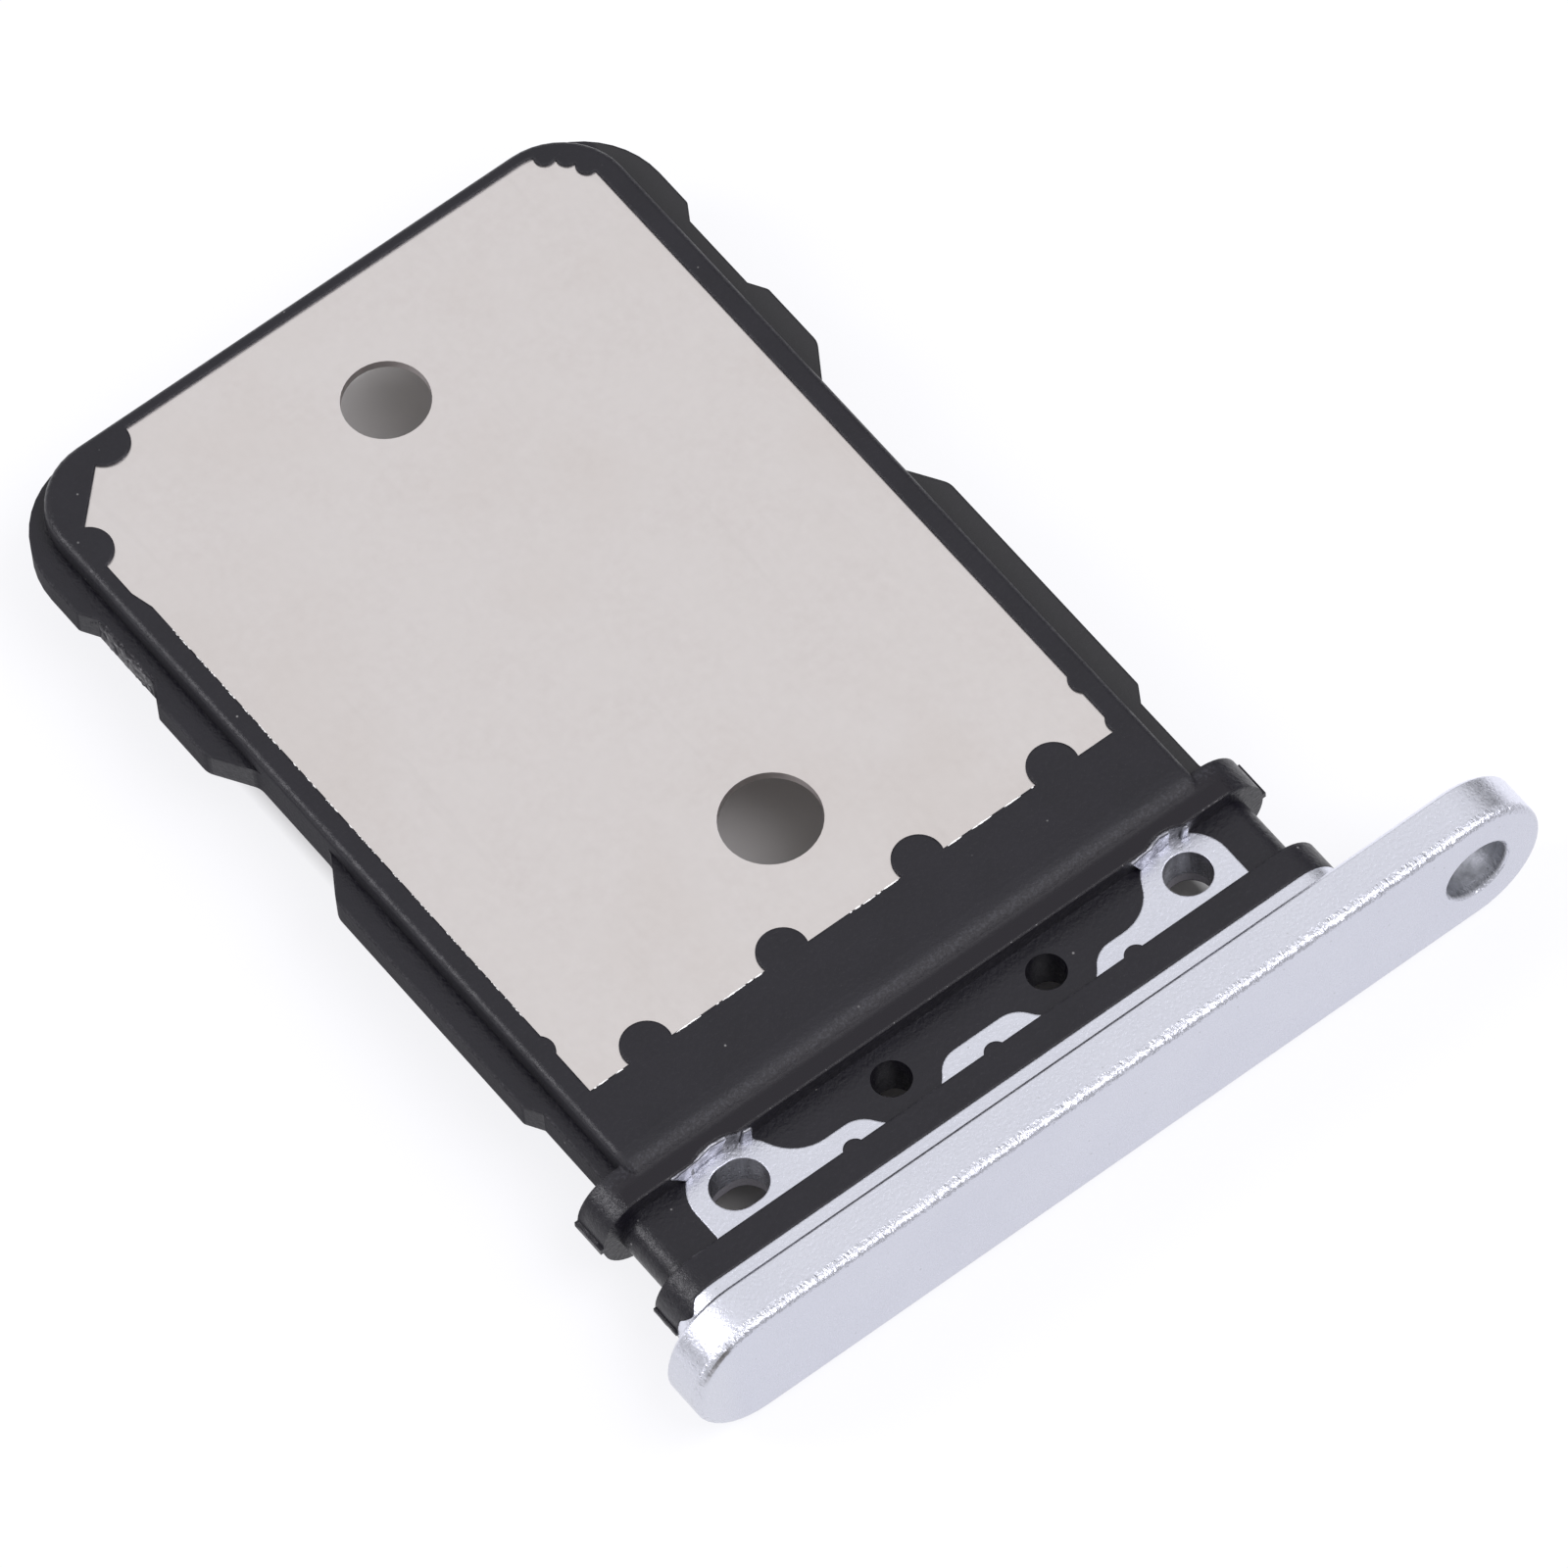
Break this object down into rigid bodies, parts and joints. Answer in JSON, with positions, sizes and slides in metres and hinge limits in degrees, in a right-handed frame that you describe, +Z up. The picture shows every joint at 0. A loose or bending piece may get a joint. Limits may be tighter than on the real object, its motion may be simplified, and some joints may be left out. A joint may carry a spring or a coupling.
{
  "type": "sim card tray",
  "caption": "Removable tray for a nano-size card: bright metal face cap with an ejector pin hole, black moulded frame with a grooved neck and stepped rails, and a thin steel support plate.",
  "frame": {"origin": "middle of the face cap's back plane, on the axis of the two flanges", "axes": "+Y the way the tray is pushed in, +Z up from the card pocket to the plate's top side, +X towards the ejector pin hole"},
  "size_m": [0.0143, 0.0172, 0.0022],
  "materials": {
    "cap_metal": "fine blasted and anodised, clear",
    "plate_steel": "plain rolled sheet",
    "frame_plastic": "matte moulded, glass-filled"
  },
  "bodies": {
    "root": {"face_cap": "cap_metal", "support_plate": "plate_steel", "tray_frame": "frame_plastic"}
  },
  "joints": []
}
